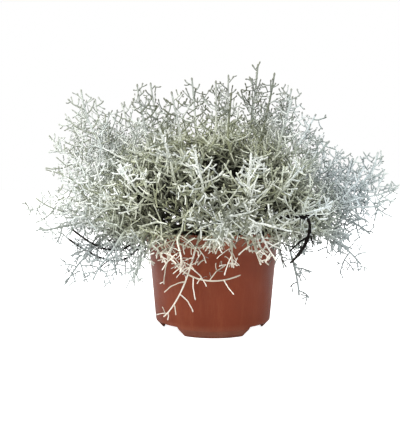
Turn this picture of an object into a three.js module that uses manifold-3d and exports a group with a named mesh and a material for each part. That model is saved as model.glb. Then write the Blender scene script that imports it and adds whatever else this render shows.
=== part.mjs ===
// A cushion bush in a 12 cm nursery pot. Millimetres, +Z up, the origin on the ground under the
// middle of the pot, and the side that faces the viewer towards -Y.
import * as THREE from 'three';
import { mergeVertices } from 'three/addons/utils/BufferGeometryUtils.js';
import Module from 'manifold-3d';

const wasm = await Module();
wasm.setup();

// The pot's driving sizes
const RIM_RADIUS = 60;
const POT_HEIGHT = 84;
const WALL = 1.2;
const LIP = 0.7;
const BAND_RADIUS = 57.4;
const BAND_HEIGHT = 75.2;
const NECK_RADIUS = 54.7;
const NECK_HEIGHT = 72.5;
const HEEL_RADIUS = 48.7;
const HEEL_HEIGHT = 7;
const FOOT_RADIUS = 42.6;
const FOOT_WIDTH = 1.7;
const FLOOR_HEIGHT = 8.8;
const INNER_RISE = 0.9;
const ROUND_SIDES = 36;
const GAP = 0.3;

// The openings between the feet, and the drain holes in the floor
const NOTCH_ANGLES = [90, 210, 330];
const NOTCH_HEIGHT = 8.3;
const NOTCH_TOP = 38;
const NOTCH_FOOT = 38.6;
const DRAIN_CIRCLE = 30;
const DRAIN_RADIUS = 4;
const DRAIN_COUNT = 6;
const DRAIN_SIDES = 8;

// The soil's surface and the stems' holes in it
const SOIL_HEIGHT = 75;
const SOIL_CROWN = 1;
const SOIL_DROP = 2.4;
const SOIL_BANK = 3;
const HOLE_RADIUS = 2.4;
const HOLE_SIDES = 5;
const HOLE_FLOOR = 62;

// The stems' thickness, as the radius of the round stick that each three-sided one stands for
const SIDES = 3;
const STEM_FOOT = 1.6;
const STEM_TIP = 0.85;
const BRANCH_FOOT = 0.9;
const BRANCH_TIP = 0.65;
const TWIG_FOOT = 0.72;
const TWIG_TIP = 0.58;

// How a stem's middle line runs: the reach of its end pulls, as a part of its straight length, and
// the size of its slow sway to the side and up
const PULL = 0.38;
const LEAST_LIFT = 40;
const SWAY = 3;
const SWAY_WAVES = 1.4;
const RISE = 1.5;
const RISE_WAVES = 1.9;

// How branches grow on a stem and twigs on a branch, counted from the tip. first and span are parts
// of the parent's length, and angles are in degrees: each one stands out from its parent at open to
// open + spread, half a turn and a twist on from the one before, and bends along its parent by follow
// and up by rise. It is least long at the tip, less up to slim of that where its parent stands upright,
// and gains share of what lies above it, up to most, times even to even + range.
const BRANCH = {
  pitch: 5.4, first: 0.965, span: 0.8, scatter: 110, twist: 20, open: 62, spread: 26, follow: 0.6,
  rise: 0.5, least: 11, slim: 0.4, share: 0.46, most: 52, even: 0.55, range: 0.75,
};
const TWIG = {
  pitch: 5.0, first: 0.94, span: 0.84, scatter: 110, twist: 29, open: 66, spread: 24, follow: 0.8,
  rise: 0.3, least: 5, slim: 0, share: 0.42, most: 19, even: 0.6, range: 0.7,
};

// What grows on a stem that hangs bends up less, or down: by the height of the stem's tip over
// HANG_HEIGHT, as a part of HANG_RANGE, between HANG_MOST and 1
const HANG_HEIGHT = 85;
const HANG_RANGE = 45;
const HANG_MOST = -1.2;
const JITTER = 0.6;

// How many of a stem's branches are solid here, each at FIRST_PLACE of its share of the stem, and
// where along a branch of some length the solid twigs are, as a part of the way down from its tip
const BRANCHES = 5;
const OLD_BRANCHES = 3;
const FIRST_PLACE = 0.35;
const TWIG_PLACES = [
  { over: 36, places: [0.15, 0.42, 0.7] },
  { over: 24, places: [0.2, 0.6] },
  { over: 12, places: [0.35] },
];

// The room that a branch or twig keeps: from everything, and from its own stem past its root
const CLEARANCE = 1;
const BRANCH_ROOT = 3.6;
const TWIG_ROOT = 3;
const ROOT_HALF = 0.75;

// How many straight stretches stand for each when the room round it is tested
const STEM_STRETCHES = 30;
const BRANCH_STRETCHES = 4;
const TWIG_STRETCHES = 2;

// One leafy stem a row: the foot's azimuth, its distance from the middle and the elevation at which
// the stem leaves; the tip's azimuth, reach and height, and the elevation at which it arrives.
const STEMS = {
  crown: [
    [15, 17, 84, 15, 40, 225, 86], [345, 21, 80, 345, 52, 214, 82], [60, 13, 84, 60, 28, 218, 86],
    [298, 20, 78, 286, 48, 194, 78], [180, 9, 86, 180, 18, 212, 84], [238, 21, 74, 238, 62, 194, 72],
    [152, 21, 78, 164, 56, 210, 84], [200, 24, 72, 210, 70, 202, 84],
    [270, 12, 84, 272, 40, 204, 80],
  ],
  shoulder: [
    [3, 31, 66, 3, 88, 182, 62], [25, 31, 70, 29, 82, 208, 78], [50, 31, 68, 50, 84, 192, 68],
    [82, 31, 66, 80, 84, 202, 72], [118, 31, 66, 118, 92, 192, 66], [142, 31, 66, 147, 100, 197, 72],
    [164, 32, 62, 167, 106, 197, 86], [185, 32, 56, 185, 110, 201, 84], [224, 31, 54, 227, 102, 136, 50],
    [248, 31, 62, 243, 90, 166, 60], [300, 40, 50, 284, 102, 146, 75], [306, 31, 56, 310, 98, 136, 50],
    [332, 31, 70, 334, 70, 193, 74],
  ],
  flank: [
    [352, 40, 58, 347, 97, 158, 50], [8, 40, 44, 0, 140, 150, 82], [22, 41, 46, 17, 139, 147, 58],
    [38, 40, 54, 24, 135, 152, 44], [64, 40, 50, 64, 136, 142, 42], [264, 39, 58, 262, 102, 148, 58],
    [108, 40, 50, 106, 138, 142, 42], [136, 41, 46, 144, 148, 124, 30], [156, 40, 54, 167, 132, 182, 58],
    [174, 41, 48, 188, 136, 162, 50], [199, 37, 52, 199, 130, 133, 35], [238, 40, 56, 236, 106, 56, -55],
    [270, 41, 50, 273, 140, 106, 15], [290, 40, 52, 288, 128, 96, 5], [312, 41, 46, 316, 118, 108, 20],
  ],
  low: [
    [358, 48, 54, 354, 154, 120, 25], [14, 48, 54, 0, 135, 79, -42], [344, 48, 54, 354, 139, 104, 5],
    [332, 48, 56, 350, 124, 56, -50], [322, 48, 58, 336, 76, 32, -86], [34, 48, 54, 22, 147, 106, 12],
    [80, 48, 54, 80, 143, 80, -15], [212, 48, 58, 214, 112, 50, -60], [138, 48, 54, 160, 147, 118, 25],
    [168, 48, 55, 176, 154, 110, 40], [180, 48, 56, 190, 124, 40, -60], [196, 48, 54, 200, 143, 87, -5],
    [219, 48, 60, 225, 88, 48, -65], [243, 48, 60, 254, 92, 60, -55], [274, 48, 60, 278, 94, 64, -50],
    [226, 48, 58, 228, 88, 54, -75],
  ],
};

// Stems that spill over the rim: the foot's azimuth, then the three points that pull the curve
const TRAILING = {
  trailing_front: [260, [6, -72, 146], [-19, -68, 38], [-39, -63, 22]],
  trailing_across: [234, [-78, -20, 142], [-44, -92, 30], [20, -66, 55]],
};
const OLD_STEMS = {
  old_stem_low: [158, [-68, 46, 136], [-40, 26, 4], [-127, 4, 77]],
  old_stem_high: [205, [-70, -30, 136], [-42, -36, 28], [-117, -20, 86]],
  old_stem_right: [313, [50, -64, 119], [87, -98, 98], [54, -84, 66]],
};
const RIM_RING = 48;

// Where a middle line has rings of its own: few on a slight arch, more on one that turns down, and
// one at the bend of a branch without twigs
const SLIGHT_ARCH = [0, 0.1, 0.22, 1];
const BARE_BEND = 0.55;
const FULL_ARCH = [0, 0.08, 0.16, 0.26, 0.38, 0.5, 0.62, 0.74, 0.87, 1];

const POT_COLOUR = 0x8b4a34;
const SOIL_COLOUR = 0x2f261e;
const LEAF_COLOUR = 0xc6ccbe;
const OLD_COLOUR = 0x37322a;
const UP = new THREE.Vector3(0, 0, 1);
const STEP = 0.002;

// A draw from 0 to 1 that depends only on the whole numbers that name the place in the plant
function chance(...keys) {
  let mix = 0;
  for (const key of keys) {
    mix = Math.imul(mix ^ key, 2654435761);
    mix = Math.imul(mix ^ (mix >>> 15), 2246822519);
    mix ^= mix >>> 13;
  }
  return (mix >>> 0) / 2 ** 32;
}

function heading(azimuth, elevation) {
  const a = THREE.MathUtils.degToRad(azimuth);
  const e = THREE.MathUtils.degToRad(elevation);
  return new THREE.Vector3(Math.cos(e) * Math.cos(a), Math.cos(e) * Math.sin(a), Math.sin(e));
}

function lerp(from, to, part) {
  return from + (to - from) * part;
}

// Solids: a closed geometry becomes a body that can be cut and joined, and goes back to a geometry
function toSolid(geometry) {
  const bare = geometry.clone();
  bare.deleteAttribute('normal');
  bare.deleteAttribute('uv');
  const merged = mergeVertices(bare, 1e-4);
  const mesh = new wasm.Mesh({
    numProp: 3,
    vertProperties: new Float32Array(merged.attributes.position.array),
    triVerts: new Uint32Array(merged.index.array),
  });
  return new wasm.Manifold(mesh);
}

function toGeometry(solid) {
  const mesh = solid.getMesh();
  const geometry = new THREE.BufferGeometry();
  geometry.setAttribute('position', new THREE.BufferAttribute(new Float32Array(mesh.vertProperties), 3));
  geometry.setIndex(new THREE.BufferAttribute(new Uint32Array(mesh.triVerts), 1));
  return geometry;
}

function turned(outline) {
  const points = outline.map(([radius, height]) => new THREE.Vector2(radius, height));
  return new THREE.LatheGeometry(points, ROUND_SIDES).rotateX(Math.PI / 2);
}

// The pot: one thin moulding with a flared band at the rim, a bevelled heel and three feet
function potBody() {
  const inner = HEEL_RADIUS - FOOT_WIDTH;
  const shell = toSolid(turned([
    [0, FLOOR_HEIGHT], [inner, FLOOR_HEIGHT], [inner, HEEL_HEIGHT], [FOOT_RADIUS - FOOT_WIDTH, 0],
    [FOOT_RADIUS, 0], [HEEL_RADIUS, HEEL_HEIGHT], [NECK_RADIUS, NECK_HEIGHT], [BAND_RADIUS, BAND_HEIGHT],
    [RIM_RADIUS, POT_HEIGHT - LIP], [RIM_RADIUS - LIP, POT_HEIGHT], [RIM_RADIUS - 2 * LIP, POT_HEIGHT],
    [BAND_RADIUS - WALL, BAND_HEIGHT + INNER_RISE], [NECK_RADIUS - WALL, NECK_HEIGHT + INNER_RISE],
    [HEEL_RADIUS - WALL, FLOOR_HEIGHT + WALL], [0, FLOOR_HEIGHT + WALL],
  ]));
  const side = new THREE.Shape([
    new THREE.Vector2(-NOTCH_FOOT / 2, -1), new THREE.Vector2(NOTCH_FOOT / 2, -1),
    new THREE.Vector2(NOTCH_TOP / 2, NOTCH_HEIGHT), new THREE.Vector2(-NOTCH_TOP / 2, NOTCH_HEIGHT),
  ]);
  const reach = RIM_RADIUS - DRAIN_CIRCLE;
  const notch = new THREE.ExtrudeGeometry(side, { depth: reach, bevelEnabled: false });
  notch.rotateX(Math.PI / 2).rotateZ(Math.PI / 2).translate(DRAIN_CIRCLE, 0, 0);
  const drain = new THREE.CylinderGeometry(DRAIN_RADIUS, DRAIN_RADIUS, FLOOR_HEIGHT, DRAIN_SIDES);
  drain.rotateX(Math.PI / 2).translate(DRAIN_CIRCLE, 0, FLOOR_HEIGHT + WALL / 2);
  let pot = shell;
  for (const angle of NOTCH_ANGLES) {
    const turn = THREE.MathUtils.degToRad(angle);
    pot = pot.subtract(toSolid(notch.clone().rotateZ(turn)));
  }
  for (let n = 0; n < DRAIN_COUNT; n++) {
    pot = pot.subtract(toSolid(drain.clone().rotateZ((2 * Math.PI * n) / DRAIN_COUNT)));
  }
  return pot;
}

// The soil: a slightly crowned fill, a gap clear of the wall, with a plain hole for each stem's foot
function soilBody(feet) {
  const floor = FLOOR_HEIGHT + WALL;
  const taper = (NECK_RADIUS - HEEL_RADIUS) / (NECK_HEIGHT + INNER_RISE - floor);
  const edge = SOIL_HEIGHT - SOIL_DROP;
  const bottomRadius = HEEL_RADIUS - WALL - GAP;
  const edgeRadius = bottomRadius + (edge - floor - GAP) * taper;
  let soil = toSolid(turned([
    [0, floor + GAP], [bottomRadius, floor + GAP], [edgeRadius, edge],
    [edgeRadius - SOIL_BANK, SOIL_HEIGHT], [0, SOIL_HEIGHT + SOIL_CROWN],
  ]));
  const depth = SOIL_HEIGHT + 2 * SOIL_CROWN - HOLE_FLOOR;
  const bore = new THREE.CylinderGeometry(HOLE_RADIUS, HOLE_RADIUS, depth, HOLE_SIDES);
  bore.rotateX(Math.PI / 2).translate(0, 0, HOLE_FLOOR + depth / 2);
  for (const foot of feet) {
    soil = soil.subtract(toSolid(bore.clone().translate(foot.x, foot.y, 0)));
  }
  return soil;
}

// The skin of one leafy stem. Every stick is three-sided: rings of three corners along its middle
// line. A pair of rings close together leaves one of its triangles open, and what branches off there
// grows out of that triangle, so that stem, branches and twigs are one closed body.

class Skin {
  constructor() {
    this.corners = [];
    this.faces = [];
  }

  corner(number) {
    return new THREE.Vector3().fromArray(this.corners, 3 * number);
  }

  // Three corners round a centre, square to along; the first lies towards across
  ring(centre, along, across, radius) {
    const first = across.clone().addScaledVector(along, -across.dot(along)).normalize();
    const start = this.corners.length / 3;
    for (let side = 0; side < SIDES; side++) {
      const out = first.clone().applyAxisAngle(along, (2 * Math.PI * side) / SIDES);
      this.corners.push(...centre.clone().addScaledVector(out, radius).toArray());
    }
    return [start, start + 1, start + 2];
  }

  // The direction that the next ring's first corner takes, so that the wall up to it isn't twisted
  untwisted(ring, along) {
    const points = ring.map((number) => this.corner(number));
    const middle = points.reduce((sum, point) => sum.add(point), new THREE.Vector3()).divideScalar(SIDES);
    const across = new THREE.Vector3();
    points.forEach((point, side) => {
      const out = point.sub(middle);
      out.addScaledVector(along, -out.dot(along));
      across.add(out.applyAxisAngle(along, (-2 * Math.PI * side) / SIDES));
    });
    return across;
  }

  // Closes the wall between two rings, but for the triangle that faces the way that a shoot leaves
  wall(low, high, leaving) {
    const triangles = [];
    for (let side = 0; side < SIDES; side++) {
      const next = (side + 1) % SIDES;
      triangles.push([low[side], low[next], high[next]], [low[side], high[next], high[side]]);
    }
    if (!leaving) {
      this.faces.push(...triangles.flat());
      return null;
    }
    const facing = triangles.map((numbers) => (
      new THREE.Triangle(...numbers.map((n) => this.corner(n))).getNormal(new THREE.Vector3()).dot(leaving)));
    const open = facing.indexOf(Math.max(...facing));
    this.faces.push(...triangles.filter((_, n) => n !== open).flat());
    return triangles[open];
  }

  // Carries the section along marks of a middle line, from a root ring up to a closed tip, and
  // returns the open triangle of each exit, in the exits' order
  grow(line, root, marks, radius) {
    let low = root;
    const exits = [];
    for (const { at, exit } of marks) {
      const along = line.along(at);
      const high = this.ring(line.at(at), along, this.untwisted(low, along), radius(at));
      const open = this.wall(low, high, exit);
      if (open) exits.push(open);
      low = high;
    }
    this.faces.push(...low);
    return exits;
  }

  geometry() {
    const geometry = new THREE.BufferGeometry();
    geometry.setAttribute('position', new THREE.BufferAttribute(new Float32Array(this.corners), 3));
    geometry.setIndex(this.faces);
    return geometry;
  }
}

// A stem's middle line: a cubic curve with a small sway. keys are the numbers that its draws go by.
class Stem {
  constructor(number, pulls, rounds) {
    [this.start, , , this.end] = pulls;
    this.keys = [number];
    this.rounds = rounds;
    this.curve = new THREE.CubicBezierCurve3(...pulls);
    this.length = this.end.distanceTo(this.start);
    this.side = new THREE.Vector3().crossVectors(this.end.clone().sub(this.start), UP).normalize();
    this.lift = THREE.MathUtils.clamp((this.end.z - HANG_HEIGHT) / HANG_RANGE, HANG_MOST, 1);
  }

  at(t) {
    const swell = Math.sin(Math.PI * t) ** 2;
    const sway = SWAY * swell * Math.sin(2 * Math.PI * (SWAY_WAVES * t + chance(...this.keys, 1)));
    const rise = RISE * swell * Math.sin(2 * Math.PI * (RISE_WAVES * t + chance(...this.keys, 2)));
    return this.curve.getPoint(t).addScaledVector(this.side, sway).addScaledVector(UP, rise);
  }

  along(t) {
    return this.at(t + STEP).sub(this.at(t - STEP)).normalize();
  }
}

// A branch's or twig's middle line: it leaves its root along from and bends until it points along to
class Shoot {
  constructor(keys, root, from, to, length, side, lift) {
    Object.assign(this, { keys, root, from, length, side, lift });
    this.bend = to.clone().sub(from);
  }

  at(s) {
    const point = this.root.clone().addScaledVector(this.from, this.length * s);
    return point.addScaledVector(this.bend, (this.length * s * s) / 2);
  }

  along(s) {
    return this.from.clone().addScaledVector(this.bend, s).normalize();
  }
}

// A direction that opens from along by an angle, at a turn about it that is counted from a reference
function opening(along, reference, turn, angle) {
  const first = reference.clone().addScaledVector(along, -reference.dot(along)).normalize();
  const second = new THREE.Vector3().crossVectors(along, first);
  const side = first.multiplyScalar(Math.cos(turn)).addScaledVector(second, Math.sin(turn));
  const out = along.clone().multiplyScalar(Math.cos(angle)).addScaledVector(side, Math.sin(angle));
  return { side, out };
}

function offshootCount(rule, parent) {
  return Math.max(1, Math.round(parent.length / rule.pitch));
}

// The nth branch of a stem or twig of a branch, and where it grows on its parent
function offshoot(rule, parent, n) {
  const keys = [...parent.keys, n];
  const place = n + JITTER * chance(...keys, 3);
  const at = rule.first - (rule.span * place) / offshootCount(rule, parent);
  const along = parent.along(at);
  const scatter = rule.scatter * (chance(...keys, 4) - 0.5);
  const turn = THREE.MathUtils.degToRad((180 + rule.twist) * n + scatter + 360 * chance(...parent.keys, 5));
  const angle = THREE.MathUtils.degToRad(rule.open + rule.spread * chance(...keys, 6));
  const { side, out } = opening(along, parent.side, turn, angle);
  const to = out.clone().addScaledVector(along, rule.follow);
  to.addScaledVector(UP, rule.rise * parent.lift).normalize();
  const least = rule.least * (1 - rule.slim * Math.max(0, along.z) ** 2);
  const grown = Math.min(rule.most, least + rule.share * (1 - at) * parent.length);
  const length = grown * (rule.even + rule.range * chance(...keys, 7));
  return { n, at, shoot: new Shoot(keys, parent.at(at), out, to, length, side, parent.lift) };
}

// What is already there: straight stretches with a radius, so that nothing runs into anything
const placed = [];

function occupy(line, radius, steps) {
  for (let n = 1; n <= steps; n++) {
    const stretch = new THREE.Line3(line.at((n - 1) / steps), line.at(n / steps));
    placed.push({ owner: line.keys[0], radius, stretch });
  }
}

function clearOfPot(point, radius) {
  const out = Math.hypot(point.x, point.y);
  const room = radius + CLEARANCE;
  const above = point.z > POT_HEIGHT + room;
  const outside = out > RIM_RADIUS + room;
  const inside = out < NECK_RADIUS - WALL - room && point.z > SOIL_HEIGHT + SOIL_CROWN + room;
  return above || outside || inside;
}

function isClear(shoot, radius, rootLength) {
  const steps = Math.ceil(shoot.length);
  const near = new THREE.Vector3();
  for (let n = 0; n <= steps; n++) {
    const point = shoot.at(n / steps);
    if (!clearOfPot(point, radius)) return false;
    const atRoot = (n / steps) * shoot.length < rootLength;
    for (const other of placed) {
      if (atRoot && other.owner === shoot.keys[0]) continue;
      other.stretch.closestPointToPoint(point, true, near);
      if (near.distanceTo(point) < radius + other.radius + CLEARANCE) return false;
    }
  }
  return true;
}

// The branches that are solid: spread from the tip down, each the first of its neighbours with room
function solidBranches(stem, wanted) {
  const count = offshootCount(BRANCH, stem);
  const found = [];
  for (let place = 0; place < wanted; place++) {
    const first = Math.floor(((place + FIRST_PLACE) * count) / wanted);
    const near = [first, first + 1, Math.max(first - 1, 0)].map((n) => offshoot(BRANCH, stem, n));
    const one = near.find(({ n, shoot }) => (
      found.every((other) => other.n !== n) && isClear(shoot, BRANCH_FOOT, BRANCH_ROOT)));
    if (!one) continue;
    found.push(one);
    occupy(one.shoot, BRANCH_FOOT, BRANCH_STRETCHES);
  }
  return found.sort((a, b) => a.at - b.at);
}

function solidTwigs(parent) {
  const { places } = TWIG_PLACES.find(({ over }) => parent.length > over) ?? { places: [] };
  const count = offshootCount(TWIG, parent);
  const found = [];
  for (const place of places) {
    const one = offshoot(TWIG, parent, Math.floor(place * count));
    const farEnough = one.at * parent.length > BRANCH_ROOT + TWIG_ROOT;
    if (farEnough && isClear(one.shoot, TWIG_FOOT, TWIG_ROOT)) {
      found.push(one);
      occupy(one.shoot, TWIG_FOOT, TWIG_STRETCHES);
    }
  }
  return found.sort((a, b) => a.at - b.at);
}

// The marks of a middle line: a pair of rings at each exit, the ends, and what keeps its bends round
function marksOf(exits, length, rounds) {
  const half = ROOT_HALF / length;
  const marks = rounds.map((at) => ({ at }));
  for (const { at, shoot } of exits) marks.push({ at: at - half }, { at: at + half, exit: shoot.from });
  return marks.sort((a, b) => a.at - b.at);
}

// The solid of one leafy stem, from its foot in the soil to the tips of its twigs
function leafyStem(stem, wanted) {
  const skin = new Skin();
  const branches = solidBranches(stem, wanted);
  const sunk = stem.start.clone().setZ(HOLE_FLOOR + GAP);
  const footRing = skin.ring(sunk, UP, stem.side, STEM_FOOT);
  skin.faces.push(...footRing.toReversed());
  const stemMarks = marksOf(branches, stem.length, stem.rounds);
  const exits = skin.grow(stem, footRing, stemMarks, (t) => lerp(STEM_FOOT, STEM_TIP, t));
  branches.forEach(({ shoot }, n) => {
    const twigs = solidTwigs(shoot);
    const branchMarks = marksOf(twigs, shoot.length, twigs.length ? [1] : [BARE_BEND, 1]);
    const open = skin.grow(shoot, exits[n], branchMarks, (s) => lerp(BRANCH_FOOT, BRANCH_TIP, s));
    twigs.forEach((one, m) => skin.grow(one.shoot, open[m], [{ at: 1 }], () => TWIG_TIP));
  });
  return skin.geometry();
}

function foot(azimuth, distance) {
  return heading(azimuth, 0).multiplyScalar(distance).setZ(SOIL_HEIGHT + STEM_FOOT);
}

function archedPulls([footAzimuth, footDistance, leaving, azimuth, reach, height, arriving]) {
  const start = foot(footAzimuth, footDistance);
  const end = heading(azimuth, 0).multiplyScalar(reach).setZ(height);
  const pull = PULL * end.distanceTo(start);
  const lift = Math.max(pull, LEAST_LIFT);
  const first = start.clone().addScaledVector(heading(footAzimuth, leaving), lift);
  const second = end.clone().addScaledVector(heading(azimuth, arriving), -pull);
  return [start, first, second, end];
}

function trailingPulls([footAzimuth, ...pulls]) {
  return [foot(footAzimuth, RIM_RING), ...pulls.map((pull) => new THREE.Vector3(...pull))];
}

// Every stem by name, with its number, which its draws go by
const stems = [];

function addStem(name, pulls, rounds, colour, branches) {
  stems.push({ name, colour, branches, stem: new Stem(stems.length, pulls, rounds) });
}

for (const [tier, rows] of Object.entries(STEMS)) {
  rows.forEach((row, n) => {
    const name = `stem_${tier}_${String(n + 1).padStart(2, '0')}`;
    const rounds = tier === 'low' ? FULL_ARCH : SLIGHT_ARCH;
    addStem(name, archedPulls(row), rounds, LEAF_COLOUR, BRANCHES);
  });
}
for (const [name, row] of Object.entries(TRAILING)) {
  addStem(`stem_${name}`, trailingPulls(row), FULL_ARCH, LEAF_COLOUR, BRANCHES);
}
for (const [name, row] of Object.entries(OLD_STEMS)) {
  addStem(name, trailingPulls(row), FULL_ARCH, OLD_COLOUR, OLD_BRANCHES);
}
for (const { stem } of stems) occupy(stem, STEM_FOOT, STEM_STRETCHES);

const bush = new THREE.Group();

function addPart(name, geometry, colour, roughness) {
  const material = new THREE.MeshStandardMaterial({ color: colour, roughness, metalness: 0 });
  const mesh = new THREE.Mesh(geometry, material);
  mesh.name = name;
  bush.add(mesh);
}

addPart('pot', toGeometry(potBody()), POT_COLOUR, 0.5);
addPart('soil', toGeometry(soilBody(stems.map(({ stem }) => stem.start))), SOIL_COLOUR, 1);
for (const { name, colour, branches, stem } of stems) {
  addPart(name, leafyStem(stem, branches), colour, 0.9);
}

export default bush;
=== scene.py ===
# A cushion bush in a 12 cm nursery pot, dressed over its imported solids. Metres, +Z up, the pot's
# axis on the Z axis and the side that faces the viewer towards -Y.
import math
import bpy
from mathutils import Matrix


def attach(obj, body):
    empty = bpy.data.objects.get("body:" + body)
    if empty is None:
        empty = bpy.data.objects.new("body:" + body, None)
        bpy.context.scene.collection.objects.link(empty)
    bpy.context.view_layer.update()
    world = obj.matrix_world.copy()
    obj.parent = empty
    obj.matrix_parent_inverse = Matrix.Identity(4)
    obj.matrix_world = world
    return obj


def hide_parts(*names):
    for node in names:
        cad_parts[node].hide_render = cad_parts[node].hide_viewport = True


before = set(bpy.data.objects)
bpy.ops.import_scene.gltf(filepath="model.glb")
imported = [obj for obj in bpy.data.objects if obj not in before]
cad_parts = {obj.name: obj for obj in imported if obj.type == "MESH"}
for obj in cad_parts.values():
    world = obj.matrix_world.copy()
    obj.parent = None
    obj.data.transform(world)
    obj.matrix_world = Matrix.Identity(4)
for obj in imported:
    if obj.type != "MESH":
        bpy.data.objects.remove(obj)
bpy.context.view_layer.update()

from types import SimpleNamespace

import bpy
import numpy as np

# The studio: a white seamless floor and walls, which are lit on their own so that they stay white, a
# soft light from all round, a large soft lamp high on the left and a weak one on the right.
CAMERA_PLACE = (-0.011, -0.55, 0.132)
CAMERA_PITCH = 3.8
FOCAL_PIXELS = 646
IMAGE_HEIGHT = 431
SENSOR = 36.0
FLOOR_HALF = 4.0
FLOOR_GLOW = 0.9
ROOM_LIGHT = 0.79


def add_camera():
    """A camera that looks along +Y and a little down. Its lens in millimetres is the focal length in
    pixels times the sensor's long side over the image's long side."""
    camera = bpy.data.objects.new("camera", bpy.data.cameras.new("camera"))
    camera.location = CAMERA_PLACE
    camera.rotation_euler = (math.radians(90 - CAMERA_PITCH), 0, 0)
    camera.data.lens = FOCAL_PIXELS * SENSOR / IMAGE_HEIGHT
    camera.data.sensor_width = SENSOR
    bpy.context.scene.collection.objects.link(camera)
    bpy.context.scene.camera = camera


def add_lamp(name, place, size, watts, colour):
    """A square area lamp at a place, turned towards the middle of the plant."""
    lamp = bpy.data.objects.new(name, bpy.data.lights.new(name, "AREA"))
    lamp.data.size = size
    lamp.data.energy = watts
    lamp.data.color = colour
    lamp.location = place
    towards = -lamp.location
    towards.z += 0.1
    lamp.rotation_euler = towards.to_track_quat("-Z", "Y").to_euler()
    bpy.context.scene.collection.objects.link(lamp)


def feed(tree, socket, value):
    """Links a socket to the socket of another node, or sets a number or a colour on it."""
    if isinstance(value, bpy.types.NodeSocket):
        tree.links.new(value, socket)
    else:
        socket.default_value = value


def node(tree, kind, **inputs):
    """A shader node of a kind, with its inputs fed by name, underscores for spaces."""
    made = tree.nodes.new(kind)
    for name, value in inputs.items():
        feed(tree, made.inputs[name.replace("_", " ")], value)
    return made


def maths(tree, operation, *values):
    """The socket of an operation on one or two values."""
    made = tree.nodes.new("ShaderNodeMath")
    made.operation = operation
    for socket, value in zip(made.inputs, values):
        feed(tree, socket, value)
    return made.outputs[0]


def ranged(tree, value, low, high, new_low=0.0, new_high=1.0):
    """A value's place between low and high, held to that range and moved to the new one."""
    made = node(tree, "ShaderNodeMapRange", Value=value, From_Min=low, From_Max=high, To_Min=new_low,
                To_Max=new_high)
    return made.outputs[0]


def new_material(name, roughness, specular):
    """A named material with its Principled surface, and constants set on the surface's sockets."""
    material = bpy.data.materials.new(name)
    material.use_nodes = True
    surface = material.node_tree.nodes["Principled BSDF"]
    surface.inputs["Roughness"].default_value = roughness
    surface.inputs["Specular IOR Level"].default_value = specular
    return material, material.node_tree, surface


def add_floor():
    """One square sheet at the height of the pot's feet, matt and nearly white, with a glow of its own
    that only the camera sees."""
    mesh = bpy.data.meshes.new("floor")
    h = FLOOR_HALF
    mesh.from_pydata([(-h, -h, 0), (h, -h, 0), (h, h, 0), (-h, h, 0)], [], [(0, 1, 2, 3)])
    floor = bpy.data.objects.new("floor", mesh)
    bpy.context.scene.collection.objects.link(floor)
    material, tree, surface = new_material("pale floor", 0.9, 0.1)
    surface.inputs["Base Color"].default_value = (0.92, 0.92, 0.92, 1)
    surface.inputs["Emission Color"].default_value = (1, 1, 1, 1)
    seen = tree.nodes.new("ShaderNodeLightPath").outputs["Is Camera Ray"]
    tree.links.new(maths(tree, "MULTIPLY", seen, FLOOR_GLOW), surface.inputs["Emission Strength"])
    mesh.materials.append(material)


def add_world():
    """White walls all round, which the camera sees at full and which light the plant at a part."""
    world = bpy.data.worlds.new("white room")
    world.use_nodes = True
    tree = world.node_tree
    background = tree.nodes["Background"]
    background.inputs["Color"].default_value = (1.0, 1.0, 1.0, 1)
    seen = tree.nodes.new("ShaderNodeLightPath").outputs["Is Camera Ray"]
    tree.links.new(ranged(tree, seen, 0.0, 1.0, ROOM_LIGHT, 1.0), background.inputs["Strength"])
    bpy.context.scene.world = world


add_camera()
add_world()
add_floor()
add_lamp("key", (-0.6, -0.7, 1.5), 0.9, 37, (1.0, 1.0, 0.99))
add_lamp("left", (-1.4, -0.5, 0.5), 0.8, 10, (1.0, 1.0, 1.0))
add_lamp("fill", (1.3, -0.6, 0.7), 0.8, 8, (0.9, 0.95, 1.0))
bpy.context.scene.view_settings.view_transform = "Standard"


# The pot: one thin injection moulding of satin terracotta-coloured plastic, with a flared band under
# a rounded lip, a slightly tapering wall, a bevelled heel, three feet with notches between them, and
# six drain holes in its raised floor. It stands for the faceted pot of the solids.
MM = 0.001
RIM_RADIUS = 60 * MM
POT_HEIGHT = 84 * MM
WALL = 1.2 * MM
BAND_RADIUS = 57.4 * MM
BAND_HEIGHT = 75.2 * MM
NECK_RADIUS = 54.7 * MM
NECK_HEIGHT = 72.5 * MM
HEEL_RADIUS = 48.7 * MM
HEEL_HEIGHT = 7 * MM
FOOT_RADIUS = 42.6 * MM
FOOT_WIDTH = 1.7 * MM
FLOOR_HEIGHT = 8.8 * MM
INNER_RISE = 0.9 * MM
NOTCH_ANGLES = (90, 210, 330)
NOTCH_HEIGHT = 8.3 * MM
NOTCH_TOP = 38 * MM
NOTCH_FOOT = 38.6 * MM
DRAIN_CIRCLE = 30 * MM
DRAIN_RADIUS = 4 * MM
DRAIN_COUNT = 6
DRAIN_COLUMNS = 24
DRAIN_BEYOND = 1 * MM
MIDDLE = 2 * MM
POT_COLUMNS = 360
ARC_POINTS = 6


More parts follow.
